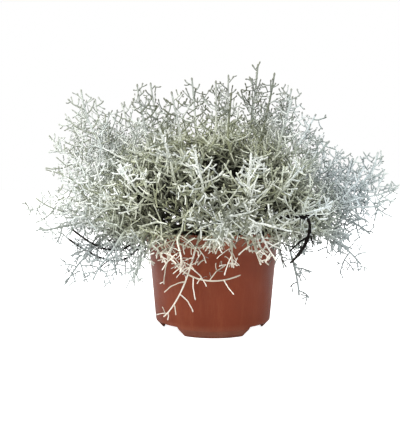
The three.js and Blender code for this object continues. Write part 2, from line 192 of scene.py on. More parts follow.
def rounded_outline(corners):
    """The points of an outline whose corners are rounded. corners are rows of radius, height and
    rounding. A corner becomes an arc that touches both of its sides, at the rounding over the
    tangent of half the corner's angle from it."""
    points = []
    for k, (r, z, rounding) in enumerate(corners):
        here = np.array([r, z])
        if rounding == 0:
            points.append(here)
            continue
        back = np.array(corners[k - 1][:2]) - here
        ahead = np.array(corners[(k + 1) % len(corners)][:2]) - here
        back /= np.linalg.norm(back)
        ahead /= np.linalg.norm(ahead)
        half = math.acos(np.clip(back @ ahead, -1, 1)) / 2
        bisector = (back + ahead) / np.linalg.norm(back + ahead)
        centre = here + bisector * rounding / math.sin(half)
        first = here + back * rounding / math.tan(half) - centre
        last = here + ahead * rounding / math.tan(half) - centre
        part = np.linspace(0, 1, ARC_POINTS)[:, None]
        arc = first * (1 - part) + last * part
        points.extend(centre + arc * rounding / np.linalg.norm(arc, axis=1, keepdims=True))
    return np.array(points)


def make_piece(name, points, faces, smooth=True):
    """A mesh object at the origin from whole arrays: points in metres, and a list of face arrays, one
    for each number of corners."""
    mesh = bpy.data.meshes.new(name)
    mesh.vertices.add(len(points))
    mesh.vertices.foreach_set("co", np.ascontiguousarray(points, np.float32).ravel())
    corners = np.concatenate([block.ravel() for block in faces]).astype(np.int32)
    sizes = np.concatenate([np.full(len(block), block.shape[1]) for block in faces])
    mesh.loops.add(len(corners))
    mesh.loops.foreach_set("vertex_index", corners)
    mesh.polygons.add(len(sizes))
    mesh.polygons.foreach_set("loop_start", (np.cumsum(sizes) - sizes).astype(np.int32))
    mesh.update(calc_edges=True)
    mesh.polygons.foreach_set("use_smooth", np.full(len(sizes), smooth))
    piece = bpy.data.objects.new(name, mesh)
    bpy.context.scene.collection.objects.link(piece)
    return piece


def turned_skin(rings, bottom, top):
    """A closed skin over rings of points, an array of ring by column by xyz in which each ring goes
    round the axis anticlockwise, from the one next to the point bottom to the one next to top."""
    rows, columns = rings.shape[:2]
    points = np.concatenate([rings.reshape(-1, 3), [bottom, top]])
    number = np.arange(rows * columns).reshape(rows, columns)
    after = np.roll(number, -1, axis=1)
    quads = np.stack([number[:-1], after[:-1], after[1:], number[1:]], -1).reshape(-1, 4)
    first = np.full(columns, rows * columns)
    below = np.stack([after[0], number[0], first], -1)
    above = np.stack([number[-1], after[-1], first + 1], -1)
    return points, [quads, np.concatenate([below, above])]


def pot_rings():
    """The pot's rings, from the middle of the floor's underside out, down the inside of the feet, up
    the outside, over the lip and down inside to the middle of the floor. Low down, each height is
    squeezed up from the notch's edge, and the radius follows the foot's slope."""
    inner = HEEL_RADIUS - FOOT_WIDTH
    ring_inside = FOOT_RADIUS - FOOT_WIDTH
    outline = rounded_outline([
        (MIDDLE, FLOOR_HEIGHT, 0), (DRAIN_CIRCLE, FLOOR_HEIGHT, 0),
        (inner, FLOOR_HEIGHT, 0.4 * MM), (inner, HEEL_HEIGHT, 0.4 * MM), (ring_inside, 0, 0.3 * MM),
        (FOOT_RADIUS, 0, 0.4 * MM), (HEEL_RADIUS, HEEL_HEIGHT, 1.2 * MM),
        (NECK_RADIUS, NECK_HEIGHT, 0.6 * MM), (BAND_RADIUS, BAND_HEIGHT, 0.7 * MM),
        (RIM_RADIUS, POT_HEIGHT, 0.65 * MM), (RIM_RADIUS - 1.5 * MM, POT_HEIGHT, 0.5 * MM),
        (BAND_RADIUS - WALL, BAND_HEIGHT + INNER_RISE, 0.8 * MM),
        (NECK_RADIUS - WALL, NECK_HEIGHT + INNER_RISE, 0.8 * MM),
        (HEEL_RADIUS - WALL, FLOOR_HEIGHT + WALL, 0.8 * MM), (MIDDLE, FLOOR_HEIGHT + WALL, 0),
    ])
    turns = 2 * math.pi * np.arange(POT_COLUMNS) / POT_COLUMNS
    edge = np.zeros(POT_COLUMNS)
    widest, narrowest = math.asin(NOTCH_FOOT / 2 / FOOT_RADIUS), math.asin(NOTCH_TOP / 2 / HEEL_RADIUS)
    for angle in NOTCH_ANGLES:
        away = np.abs((turns - math.radians(angle) + math.pi) % (2 * math.pi) - math.pi)
        edge = np.maximum(edge, NOTCH_HEIGHT * np.clip((widest - away) / (widest - narrowest), 0, 1))
    radius, height = outline[:, :1], outline[:, 1:]
    outside = np.arange(len(outline))[:, None] > np.argmin(outline[:, 1] + (outline[:, 0] < ring_inside))
    ceiling = np.where(outside, 2 * HEEL_HEIGHT, FLOOR_HEIGHT - 0.1 * MM)
    raised = height + edge * np.clip(1 - height / ceiling, 0, 1)
    slope = np.array([0, HEEL_HEIGHT, NECK_HEIGHT])
    wall = np.array([FOOT_RADIUS, HEEL_RADIUS, NECK_RADIUS])
    follow = np.where(outside, np.interp(raised, slope, wall) - np.interp(height, slope, wall),
                      np.interp(raised, slope[:2], wall[:2]) - np.interp(height, slope[:2], wall[:2]))
    radius = radius + follow * (height < ceiling)
    return np.stack([radius * np.cos(turns), radius * np.sin(turns), raised], -1)


def cut_drain_holes(pot):
    """Takes round plugs out of the floor, evenly on a circle, and applies the cut."""
    turns = 2 * math.pi * np.arange(DRAIN_COLUMNS) / DRAIN_COLUMNS
    disc = DRAIN_RADIUS * np.stack([np.cos(turns), np.sin(turns), 0 * turns], -1)
    low, high = FLOOR_HEIGHT - DRAIN_BEYOND, FLOOR_HEIGHT + WALL + DRAIN_BEYOND
    plugs = []
    for n in range(DRAIN_COUNT):
        angle = 2 * math.pi * n / DRAIN_COUNT
        middle = DRAIN_CIRCLE * np.array([math.cos(angle), math.sin(angle), 0])
        rings = np.stack([disc + middle + (0, 0, low), disc + middle + (0, 0, high)])
        points, faces = turned_skin(rings, middle + (0, 0, low), middle + (0, 0, high))
        plugs.append(make_piece(f"plug_{n}", points, faces, smooth=False))
    for plug in plugs:
        cut = pot.modifiers.new("drain hole", "BOOLEAN")
        cut.operation = "DIFFERENCE"
        cut.solver = "EXACT"
        cut.object = plug
    held = bpy.context.evaluated_depsgraph_get()
    cut_mesh = bpy.data.meshes.new_from_object(pot.evaluated_get(held))
    pot.modifiers.clear()
    pot.data = cut_mesh
    for plug in plugs:
        bpy.data.objects.remove(plug)


def rgba(hex_colour):
    """The linear colour of six hexadecimal digits of sRGB: each part is divided by 12.92 up to
    0.04045, and above that has 0.055 added, is divided by 1.055 and raised to 2.4."""
    parts = [int(hex_colour[n:n + 2], 16) / 255 for n in (0, 2, 4)]
    return (*[c / 12.92 if c <= 0.04045 else ((c + 0.055) / 1.055) ** 2.4 for c in parts], 1.0)


def mixed(tree, part, low, high):
    """The colour socket of a mix of two colours by a part from 0 to 1."""
    made = tree.nodes.new("ShaderNodeMix")
    made.data_type = "RGBA"
    for socket, value in zip((made.inputs[0], made.inputs[6], made.inputs[7]), (part, low, high)):
        feed(tree, socket, value)
    return made.outputs[2]


def object_point(tree, scale=(1, 1, 1)):
    """The point on the piece in its own coordinates, stretched by a scale on each axis."""
    point = tree.nodes.new("ShaderNodeTexCoord").outputs["Object"]
    return node(tree, "ShaderNodeMapping", Vector=point, Scale=scale).outputs[0]


def speckle_group():
    """A shader node group for uneven surfaces: cloudy patches at one size with fine grain on them.
    Patch and Grain are in features a metre, and Mask goes from 0 to 1."""
    tree = bpy.data.node_groups.new("uneven surface", "ShaderNodeTree")
    tree.interface.new_socket("Vector", in_out="INPUT", socket_type="NodeSocketVector")
    for name, value in (("Patch", 40.0), ("Grain", 900.0), ("Share", 0.4)):
        tree.interface.new_socket(name, in_out="INPUT", socket_type="NodeSocketFloat").default_value = value
    tree.interface.new_socket("Mask", in_out="OUTPUT", socket_type="NodeSocketFloat")
    given = tree.nodes.new("NodeGroupInput").outputs
    patch = node(tree, "ShaderNodeTexNoise", Vector=given["Vector"], Scale=given["Patch"], Detail=4.0)
    grain = node(tree, "ShaderNodeTexNoise", Vector=given["Vector"], Scale=given["Grain"], Detail=2.0)
    both = tree.nodes.new("ShaderNodeMix")
    for socket, value in ((0, given["Share"]), (2, patch.outputs[0]), (3, grain.outputs[0])):
        tree.links.new(value, both.inputs[socket])
    spread = ranged(tree, both.outputs[0], 0.34, 0.66)
    tree.links.new(spread, tree.nodes.new("NodeGroupOutput").inputs["Mask"])
    return tree


uneven = speckle_group()


def uneven_mask(tree, point, patch, grain, share):
    """The mask of the uneven surface group, placed in a material with its own values."""
    made = tree.nodes.new("ShaderNodeGroup")
    made.node_tree = uneven
    tree.links.new(point, made.inputs["Vector"])
    for name, value in (("Patch", patch), ("Grain", grain), ("Share", share)):
        made.inputs[name].default_value = value
    return made.outputs["Mask"]


def add_bump(tree, surface, height, strength, distance):
    """Links a height to the surface's normal."""
    bump = node(tree, "ShaderNodeBump", Strength=strength, Distance=distance, Height=height)
    tree.links.new(bump.outputs[0], surface.inputs["Normal"])


def pot_material():
    """Terracotta-coloured plastic: warm patches, fine upright flow marks, pale dust that lies thickest
    on the band and the foot, and a satin gloss that the dust dulls."""
    material, tree, surface = new_material("satin terracotta plastic", 0.45, 0.16)
    point = object_point(tree)
    patches = uneven_mask(tree, point, 25.0, 700.0, 0.25)
    body = mixed(tree, patches, rgba("5f2610"), rgba("6a2c15"))
    upright = object_point(tree, (1, 1, 0.04))
    marks = uneven_mask(tree, upright, 160.0, 1500.0, 0.4)
    body = mixed(tree, ranged(tree, marks, 0.35, 1.0, 0.0, 0.08), body, rgba("b26c48"))
    height = node(tree, "ShaderNodeSeparateXYZ", Vector=point).outputs[2]
    near_rim = ranged(tree, height, 0.066, 0.084, 0.0, 0.35)
    near_foot = ranged(tree, height, 0.012, 0.0, 0.0, 0.3)
    dust = uneven_mask(tree, point, 90.0, 2600.0, 0.6)
    dusty = maths(tree, "MULTIPLY", dust, maths(tree, "ADD", near_rim, near_foot))
    body = mixed(tree, dusty, body, rgba("b8917a"))
    tree.links.new(body, surface.inputs["Base Color"])
    tree.links.new(ranged(tree, dust, 0.0, 1.0, 0.38, 0.56), surface.inputs["Roughness"])
    grain = uneven_mask(tree, point, 300.0, 3500.0, 0.7)
    add_bump(tree, surface, grain, 0.25, 0.1 * MM)
    return material


rings = pot_rings()
axis_low, axis_high = (0, 0, FLOOR_HEIGHT), (0, 0, FLOOR_HEIGHT + WALL)
pot = make_piece("fine_pot", *turned_skin(rings, axis_low, axis_high))
cut_drain_holes(pot)
pot.data.materials.append(pot_material())
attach(pot, "root")
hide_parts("pot")


# The potting mix: dark, crumbly peat that fills the pot to about 9 mm under the rim, sunk a little at
# its edge, with coarse crumbs, bits of bark and white perlite lying loose on it.
SOIL_HEIGHT = 75 * MM
SOIL_CROWN = 1 * MM
SOIL_DROP = 2.4 * MM
SOIL_BANK = 3 * MM
GAP = 0.3 * MM
SOIL_COLUMNS = 180
SOIL_RINGS = 60
SOIL_MIDDLE = 1 * MM
CRUMB_COUNT = 700
BARK_COUNT = 90
PERLITE_COUNT = 60
CRUMB_SIZE = (0.6 * MM, 2.2 * MM)
BARK_SIZE = (1.2 * MM, 2.6 * MM)
PERLITE_SIZE = (0.7 * MM, 1.6 * MM)
GRAIN_EDGE = 4 * MM
GRAIN_LUMPS, GRAIN_LONG = (0.75, 1.25), (0.7, 1.6)
GRAIN_LIFT = 0.2


def chance(*keys):
    """A draw from 0 to 1 that depends only on the whole numbers that name the place in the plant. Each
    number is mixed into 32 bits by two multiplications, each followed by a shift and an exclusive or."""
    mix = np.zeros((), np.uint64)
    for key in keys:
        mix = ((mix ^ np.asarray(key).astype(np.uint64)) * np.uint64(2654435761)) & np.uint64(0xFFFFFFFF)
        mix = ((mix ^ (mix >> np.uint64(15))) * np.uint64(2246822519)) & np.uint64(0xFFFFFFFF)
        mix = mix ^ (mix >> np.uint64(13))
    return mix / 2.0 ** 32


def clods(x, y, seed):
    """Lumps of a height from -1 to 1: on a square lattice of drawn heights, each point takes the mean
    of its four neighbours, weighed by a smooth step of its distance to them."""
    column, row = np.floor(x), np.floor(y)
    u, v = x - column, y - row
    u, v = u * u * (3 - 2 * u), v * v * (3 - 2 * v)
    column, row = (column + 4096).astype(int), (row + 4096).astype(int)
    low = chance(column, row, seed) * (1 - u) + chance(column + 1, row, seed) * u
    high = chance(column, row + 1, seed) * (1 - u) + chance(column + 1, row + 1, seed) * u
    return 2 * (low * (1 - v) + high * v) - 1


def soil_top(x, y):
    """The height of the soil's surface: a low crown, with clods of 9, 4 and 1.7 mm on it."""
    crown = SOIL_HEIGHT + SOIL_CROWN * (1 - np.hypot(x, y) / NECK_RADIUS)
    lumps = 0.7 * clods(x / (9 * MM), y / (9 * MM), 1) + 0.5 * clods(x / (4 * MM), y / (4 * MM), 2)
    return crown + (lumps + 0.35 * clods(x / (1.7 * MM), y / (1.7 * MM), 3) - 0.9) * MM


def soil_rings():
    """The fill's rings: its flat bottom, its tapered side a gap clear of the pot's wall, and its top
    from the edge to the middle, with the top's heights from soil_top."""
    floor = FLOOR_HEIGHT + WALL
    taper = (NECK_RADIUS - HEEL_RADIUS) / (NECK_HEIGHT + INNER_RISE - floor)
    bottom = floor + GAP
    bottom_radius = HEEL_RADIUS - WALL - GAP
    edge = SOIL_HEIGHT - SOIL_DROP
    edge_radius = bottom_radius + (edge - bottom) * taper
    side = np.array([[MIDDLE, bottom], [bottom_radius - 0.4 * MM, bottom],
                     [bottom_radius, bottom + 0.4 * MM], [edge_radius, edge]])
    across = np.linspace(edge_radius - SOIL_BANK / 2, SOIL_MIDDLE, SOIL_RINGS)
    radius = np.concatenate([side[:, 0], across])[:, None]
    turns = 2 * math.pi * np.arange(SOIL_COLUMNS) / SOIL_COLUMNS
    x, y = radius * np.cos(turns), radius * np.sin(turns)
    bank = np.clip((edge_radius - radius) / SOIL_BANK, 0, 1)
    height = edge + (soil_top(x, y) - edge) * bank
    height[:len(side)] = side[:, 1:]
    return np.stack([x, y, height], -1), bottom


def ball():
    """The corners and outward faces of a regular solid with twenty faces and a radius of one."""
    g = (1 + 5 ** 0.5) / 2
    corners = np.array([(-1, g, 0), (1, g, 0), (-1, -g, 0), (1, -g, 0), (0, -1, g), (0, 1, g),
                        (0, -1, -g), (0, 1, -g), (g, 0, -1), (g, 0, 1), (-g, 0, -1), (-g, 0, 1)])
    faces = np.array([(0, 11, 5), (0, 5, 1), (0, 1, 7), (0, 7, 10), (0, 10, 11),
                      (1, 5, 9), (5, 11, 4), (11, 10, 2), (10, 7, 6), (7, 1, 8),
                      (3, 9, 4), (3, 4, 2), (3, 2, 6), (3, 6, 8), (3, 8, 9),
                      (4, 9, 5), (2, 4, 11), (6, 2, 10), (8, 6, 7), (9, 8, 1)])
    return corners / np.linalg.norm(corners[0]), faces


def drawn(limits, part):
    """The number that lies at a part of the way between two limits."""
    return limits[0] + (limits[1] - limits[0]) * part


def grains(count, size, flat, seed):
    """Loose grains on the soil: balls of twenty faces, drawn in size, pushed in and out at each corner,
    squashed to flat, turned about the upright and set half into the surface at drawn places."""
    corners, faces = ball()
    n = np.arange(count)
    radius = (NECK_RADIUS - WALL - GRAIN_EDGE) * np.sqrt(chance(n, seed, 1))
    turn = 2 * math.pi * chance(n, seed, 2)
    x, y = radius * np.cos(turn), radius * np.sin(turn)
    across = drawn(size, chance(n, seed, 3) ** 2)
    lumpy = drawn(GRAIN_LUMPS, chance(n[:, None], np.arange(len(corners)), seed, 4))
    long = drawn(GRAIN_LONG, chance(n, seed, 5))
    shape = corners * (lumpy * across[:, None])[:, :, None] / 2
    shape = shape * np.stack([long, 1 / long, np.full(count, flat)], -1)[:, None]
    spin = 2 * math.pi * chance(n, seed, 6)[:, None]
    turned_x = shape[:, :, 0] * np.cos(spin) - shape[:, :, 1] * np.sin(spin)
    turned_y = shape[:, :, 0] * np.sin(spin) + shape[:, :, 1] * np.cos(spin)
    height = soil_top(x, y)[:, None] + shape[:, :, 2] + GRAIN_LIFT * across[:, None] * flat
    points = np.stack([turned_x + x[:, None], turned_y + y[:, None], height], -1)
    return points.reshape(-1, 3), (faces + n[:, None, None] * len(corners)).reshape(-1, 3)


def soil_material(name, dark, light, roughness):
    """Crumbs of a dark and a light colour in clouds and specks, rough all over."""
    material, tree, surface = new_material(name, roughness, 0.2)
    point = object_point(tree)
    crumbs = uneven_mask(tree, point, 260.0, 1400.0, 0.5)
    tree.links.new(mixed(tree, crumbs, rgba(dark), rgba(light)), surface.inputs["Base Color"])
    add_bump(tree, surface, uneven_mask(tree, point, 500.0, 2500.0, 0.5), 0.7, 0.5 * MM)
    return material


rings, bottom = soil_rings()
parts = [turned_skin(rings, (0, 0, bottom), (0, 0, SOIL_HEIGHT))]
parts += [(points, [faces]) for points, faces in (
    grains(CRUMB_COUNT, CRUMB_SIZE, 0.8, 11), grains(BARK_COUNT, BARK_SIZE, 0.35, 12),
    grains(PERLITE_COUNT, PERLITE_SIZE, 0.9, 13))]
starts = np.cumsum([0] + [len(points) for points, _ in parts])
points = np.concatenate([points for points, _ in parts])
quads = parts[0][1][0]
triangles = np.concatenate([faces[-1] + start for (_, faces), start in zip(parts, starts)])
soil = make_piece("fine_soil", points, [quads, triangles])
for material in (soil_material("damp peat", "17110c", "3a2c20", 0.95),
                 soil_material("bark", "2a1a10", "5b4130", 0.85),
                 soil_material("perlite", "b9b3a8", "dcd8ce", 0.8)):
    soil.data.materials.append(material)
bark_faces, perlite_faces = len(ball()[1]) * BARK_COUNT, len(ball()[1]) * PERLITE_COUNT
peat_faces = len(quads) + len(triangles) - bark_faces - perlite_faces
kinds = np.repeat(np.arange(3, dtype=np.int32), [peat_faces, bark_faces, perlite_faces])
soil.data.polygons.foreach_set("material_index", kinds)
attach(soil, "root")
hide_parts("soil")


# The leafy stems: thin, woody and much branched, each with alternate branches, twigs and short spurs
# that stand out wide and turn up, all in a close white felt with tiny scale leaves pressed to them,
# and bare dead twigs inside. They follow the rule of the solid stems, in mm and degrees, and carry it
# on to the spurs.
STEMS = {
    "crown": [
        (15, 17, 84, 15, 40, 225, 86), (345, 21, 80, 345, 52, 214, 82), (60, 13, 84, 60, 28, 218, 86),
        (298, 20, 78, 286, 48, 194, 78), (180, 9, 86, 180, 18, 212, 84), (238, 21, 74, 238, 62, 194, 72),
        (152, 21, 78, 164, 56, 210, 84), (200, 24, 72, 210, 70, 202, 84), (270, 12, 84, 272, 40, 204, 80),
    ],
    "shoulder": [
        (3, 31, 66, 3, 88, 182, 62), (25, 31, 70, 29, 82, 208, 78), (50, 31, 68, 50, 84, 192, 68),
        (82, 31, 66, 80, 84, 202, 72), (118, 31, 66, 118, 92, 192, 66), (142, 31, 66, 147, 100, 197, 72),
        (164, 32, 62, 167, 106, 197, 86), (185, 32, 56, 185, 110, 201, 84),
        (224, 31, 54, 227, 102, 136, 50), (248, 31, 62, 243, 90, 166, 60),
        (300, 40, 50, 284, 102, 146, 75), (306, 31, 56, 310, 98, 136, 50), (332, 31, 70, 334, 70, 193, 74),
    ],
    "flank": [
        (352, 40, 58, 347, 97, 158, 50), (8, 40, 44, 0, 140, 150, 82), (22, 41, 46, 17, 139, 147, 58),
        (38, 40, 54, 24, 135, 152, 44), (64, 40, 50, 64, 136, 142, 42), (264, 39, 58, 262, 102, 148, 58),
        (108, 40, 50, 106, 138, 142, 42), (136, 41, 46, 144, 148, 124, 30),
        (156, 40, 54, 167, 132, 182, 58), (174, 41, 48, 188, 136, 162, 50), (199, 37, 52, 199, 130, 133, 35),
        (238, 40, 56, 236, 106, 56, -55), (270, 41, 50, 273, 140, 106, 15), (290, 40, 52, 288, 128, 96, 5),
        (312, 41, 46, 316, 118, 108, 20),
    ],
    "low": [
        (358, 48, 54, 354, 154, 120, 25), (14, 48, 54, 0, 135, 79, -42), (344, 48, 54, 354, 139, 104, 5),
        (332, 48, 56, 350, 124, 56, -50), (322, 48, 58, 336, 76, 32, -86), (34, 48, 54, 22, 147, 106, 12),
        (80, 48, 54, 80, 143, 80, -15), (212, 48, 58, 214, 112, 50, -60), (138, 48, 54, 160, 147, 118, 25),
        (168, 48, 55, 176, 154, 110, 40), (180, 48, 56, 190, 124, 40, -60), (196, 48, 54, 200, 143, 87, -5),
        (219, 48, 60, 225, 88, 48, -65), (243, 48, 60, 254, 92, 60, -55), (274, 48, 60, 278, 94, 64, -50),
        (226, 48, 58, 228, 88, 54, -75),
    ],
}
TRAILING = {
    "trailing_front": (260, (6, -72, 146), (-19, -68, 38), (-39, -63, 22)),
    "trailing_across": (234, (-78, -20, 142), (-44, -92, 30), (20, -66, 55)),
}
OLD_STEMS = {
    "old_stem_low": (158, (-68, 46, 136), (-40, 26, 4), (-127, 4, 77)),
    "old_stem_high": (205, (-70, -30, 136), (-42, -36, 28), (-117, -20, 86)),
    "old_stem_right": (313, (50, -64, 119), (87, -98, 98), (54, -84, 66)),
}
RIM_RING = 48
STEM_START = 76.6
PULL = 0.38
LEAST_LIFT = 40
SWAY, SWAY_WAVES = 3, 1.4
RISE, RISE_WAVES = 1.5, 1.9
STEP = 0.002
BRANCH = dict(pitch=5.4, first=0.965, span=0.8, scatter=110, twist=20, open=62, spread=26, follow=0.6,
              rise=0.5, least=11, slim=0.4, share=0.46, most=52, even=0.55, range=0.75, crowd=0)
TWIG = dict(pitch=4.2, first=0.94, span=0.84, scatter=110, twist=29, open=72, spread=24, follow=0.5,
            rise=0.3, least=5, slim=0, share=0.42, most=19, even=0.6, range=0.7, crowd=0.5)
SPUR = dict(pitch=4.6, first=0.84, span=0.7, scatter=110, twist=33, open=70, spread=26, follow=0.4,
            rise=0.2, least=3.2, slim=0, share=0.55, most=11, even=0.6, range=0.8, crowd=0.5)
DEAD = dict(pitch=4.4, first=0.85, span=0.8, scatter=110, twist=37, open=60, spread=30, follow=0.5,
            rise=0.1, least=4, slim=0, share=0.5, most=15, even=0.6, range=0.7, crowd=0)
HEART, REACH = (0, 0, 95), (150, 135, 115)
TWIG_LEAST = 5.5
SPUR_PART, SPUR_LEAST = 0.7, 4.0
TOP_HEIGHT, TOP_SPUR_LEAST = 172, 7.5
DEAD_PART, DEAD_AGE = 0.62, 0.9
HANG_HEIGHT, HANG_RANGE, HANG_MOST = 85, 45, -1.2
KINK, KINK_LENGTH = 0.35, 9
SLENDER_STEMS = ("low_14", "low_15", "low_16", "trailing_front", "trailing_across", "old_stem_low",
                 "old_stem_high")
SLENDER = 0.7
BARE_HEIGHT, BARE_KEEP = 62, 0.3
JITTER = 0.6
ROOM = 0.9
ROOM_SLACK = 0.01
TESTS = 9
LEAST_JUMP, JUMP_STRETCH = 2, 1.6
AGE_KEPT, AGE_FALL = 0.8, 0.7
BUD_LENGTH, BUD_MOST = 2.8, 0.45
BUD_WIDEST, BUD_END, BUD_ROUND = 0.45, 0.13, 0.75
SHADE_HEIGHT, SHADE_REACH = 90 * MM, (150 * MM, 135 * MM, 130 * MM)
UP = np.array([0.0, 0.0, 1.0])


def heading(azimuth, elevation):
    """The direction at an azimuth and an elevation in degrees."""
    a, e = np.radians(azimuth), np.radians(elevation)
    return np.array([np.cos(e) * np.cos(a), np.cos(e) * np.sin(a), np.sin(e)])


def unit(vectors):
    """Vectors over their own lengths."""
    return vectors / np.linalg.norm(vectors, axis=-1, keepdims=True)


def arched_pulls(row):
    """The four pulls of a stem's curve: its foot, a point above the foot along the direction in which
    it leaves, a point before the tip against the direction in which it arrives, and the tip. A row has
    the foot's azimuth and distance from the axis and the elevation on leaving, then the tip's azimuth,
    reach and height and the elevation on arriving."""
    foot_azimuth, foot_distance, leaving, azimuth, reach, height, arriving = row
    start = heading(foot_azimuth, 0) * foot_distance + UP * STEM_START
    end = heading(azimuth, 0) * reach + UP * height
    pull = PULL * np.linalg.norm(end - start)
    first = start + max(pull, LEAST_LIFT) * heading(foot_azimuth, leaving)
    return [start, first, end - pull * heading(azimuth, arriving), end]


def trailing_pulls(row):
    """The same for a stem that spills over the rim: its foot's azimuth, then three given points."""
    return [heading(row[0], 0) * RIM_RING + UP * STEM_START, *np.array(row[1:], float)]


names = [f"stem_{tier}_{n + 1:02d}" for tier, rows in STEMS.items() for n in range(len(rows))]
names += [f"stem_{name}" for name in TRAILING] + list(OLD_STEMS)
pulls = np.array([arched_pulls(row) for rows in STEMS.values() for row in rows]
                 + [trailing_pulls(row) for row in (*TRAILING.values(), *OLD_STEMS.values())])
stem_side = unit(np.cross(pulls[:, 3] - pulls[:, 0], UP))


def stem_at(i, t):
    """The point at t on stem i: a cubic curve through its four pulls, with a slow sway to the side and
    a smaller one up, both fading to nothing at the ends."""
    t = t[..., None]
    p = pulls[i]
    curve = ((1 - t) ** 3 * p[..., 0, :] + 3 * t * (1 - t) ** 2 * p[..., 1, :]
             + 3 * t * t * (1 - t) * p[..., 2, :] + t ** 3 * p[..., 3, :])
    swell = np.sin(np.pi * t) ** 2
    sway = SWAY * swell * np.sin(2 * np.pi * (SWAY_WAVES * t + chance(i, 1)[..., None]))
    rise = RISE * swell * np.sin(2 * np.pi * (RISE_WAVES * t + chance(i, 2)[..., None]))
    return curve + sway * stem_side[i] + rise * UP


def stem_along(i, t):
    """The direction of stem i at t, from the points a small step before and after."""
    return unit(stem_at(i, t + STEP) - stem_at(i, t - STEP))


def wall_radius(height):
    """The radius in mm of the pot's outside at a height."""
    return np.interp(height, np.array([0, HEEL_HEIGHT, NECK_HEIGHT, BAND_HEIGHT, POT_HEIGHT]) / MM,
                     np.array([FOOT_RADIUS, HEEL_RADIUS, NECK_RADIUS, BAND_RADIUS, RIM_RADIUS]) / MM)


def draped(points):
    """The points moved straight out from the pot's axis until they clear its wall. Those over the rim
    or inside the pot stay where they are."""
    out = np.hypot(points[..., 0], points[..., 1])
    needed = wall_radius(points[..., 2]) + ROOM
    low = (points[..., 2] < POT_HEIGHT / MM + ROOM) & (out > (NECK_RADIUS - WALL) / MM - ROOM)
    grow = np.where(low & (out < needed), needed / out, 1)
    return points * np.stack([grow, grow, np.ones_like(grow)], -1)


def shoots(keys, root, start, to, length, side, place, lift):
    """Branches, twigs or spurs as whole arrays. Each leaves its root along start and bends until it
    points along to: its point at s is the root plus its length times (s start + s^2/2 bend), with a
    slight kink to the side, draped on the pot. Its age is a share of its parent's age at the root,
    place, and falls towards its tip."""
    bend = to - start
    phase = chance(*keys, 24)

    def at(i, s):
        run = length[i] * s
        kink = KINK * np.sin(math.pi * s) * np.sin(2 * math.pi * (run / KINK_LENGTH + phase[i]))
        straight = run[..., None] * (start[i] + s[..., None] / 2 * bend[i])
        return draped(root[i] + straight + kink[..., None] * side[i])

    return SimpleNamespace(
        keys=keys, length=length, side=side, lift=lift, at=at,
        along=lambda i, s: unit(start[i] + s[..., None] * bend[i]),
        age=lambda i, s: AGE_KEPT * place[i] * (1 - AGE_FALL * s))


def offshoots(rule, parents):
    """Every branch, twig or spur of the parents by a rule, counted from each parent's tip. They are a
    pitch apart, less by crowd on a slender stem, from first down over a span of the parent. Each opens
    from its parent at an angle, half a turn, a twist and a scatter on from the one before, then turns
    to follow the parent and to rise. It is as long as the rule's least, slimmer where the parent
    stands upright, and its share of what lies above it, up to the most, drawn from even over a
    range."""
    pitch = rule["pitch"] * slender[parents.keys[0]] ** rule["crowd"]
    counts = np.maximum(1, np.floor(parents.length / pitch + 0.5)).astype(int)
    parent = np.repeat(np.arange(len(counts)), counts)
    n = np.arange(len(parent)) - np.repeat(np.cumsum(counts) - counts, counts)
    parent_keys = [key[parent] for key in parents.keys]
    keys = parent_keys + [n]
    at = rule["first"] - rule["span"] * (n + JITTER * chance(*keys, 3)) / counts[parent]
    along = parents.along(parent, at)
    scatter = rule["scatter"] * (chance(*keys, 4) - 0.5)
    turn = np.radians((180 + rule["twist"]) * n + scatter + 360 * chance(*parent_keys, 5))[:, None]
    angle = np.radians(rule["open"] + rule["spread"] * chance(*keys, 6))[:, None]
    reference = parents.side[parent]
    first = unit(reference - np.sum(reference * along, -1, keepdims=True) * along)
    side = np.cos(turn) * first + np.sin(turn) * np.cross(along, first)
    out = np.cos(angle) * along + np.sin(angle) * side
    lift = parents.lift[parent]
    to = unit(out + rule["follow"] * along + rule["rise"] * lift[:, None] * UP)
    least = rule["least"] * (1 - rule["slim"] * np.maximum(0, along[:, 2]) ** 2)
    grown = np.minimum(rule["most"], least + rule["share"] * (1 - at) * parents.length[parent])
    length = grown * (rule["even"] + rule["range"] * chance(*keys, 7))
    return shoots(keys, parents.at(parent, at), out, to, length, side, parents.age(parent, at), lift)


def kept(lines, keep):
    """The lines that keep marks, as the same kind of arrays."""
    index = np.flatnonzero(keep)
    return SimpleNamespace(
        keys=[key[index] for key in lines.keys], length=lines.length[index], side=lines.side[index],
        lift=lines.lift[index], at=lambda i, s: lines.at(index[i], s),
        along=lambda i, s: lines.along(index[i], s), age=lambda i, s: lines.age(index[i], s))


def clear_of_pot(lines):
    """Whether each line keeps its room from the pot and the soil, tested at even points: above the rim,
    outside the wall at its height, or inside the wall and above the soil. A line that jumps from over
    the rim to the wall, more than its own length over its steps allows, isn't clear."""
    s = np.broadcast_to(np.linspace(0, 1, TESTS), (len(lines.length), TESTS))
    points = lines.at(np.arange(len(s))[:, None], s)
    x, y, z = np.moveaxis(points, -1, 0)
    out = np.hypot(x, y)
    room = ROOM - ROOM_SLACK
    inside = (out < (NECK_RADIUS - WALL) / MM - room) & (z > (SOIL_HEIGHT + SOIL_CROWN) / MM + room)
    free = np.all((z > POT_HEIGHT / MM + room) | (out > wall_radius(z) + room) | inside, axis=1)
    steps = np.linalg.norm(np.diff(points, axis=1), axis=-1)
    return free & np.all(steps < LEAST_JUMP + JUMP_STRETCH * lines.length[:, None] / (TESTS - 1), axis=1)


def tips(lines):
    """The place of each line's tip."""
    count = len(lines.length)
    return lines.at(np.arange(count), np.ones(count))


def from_heart(lines):
    """How far each line's tip is from the heart of the bush, as a share of the bush's reach."""
    return np.linalg.norm((tips(lines) - HEART) / REACH, axis=-1)


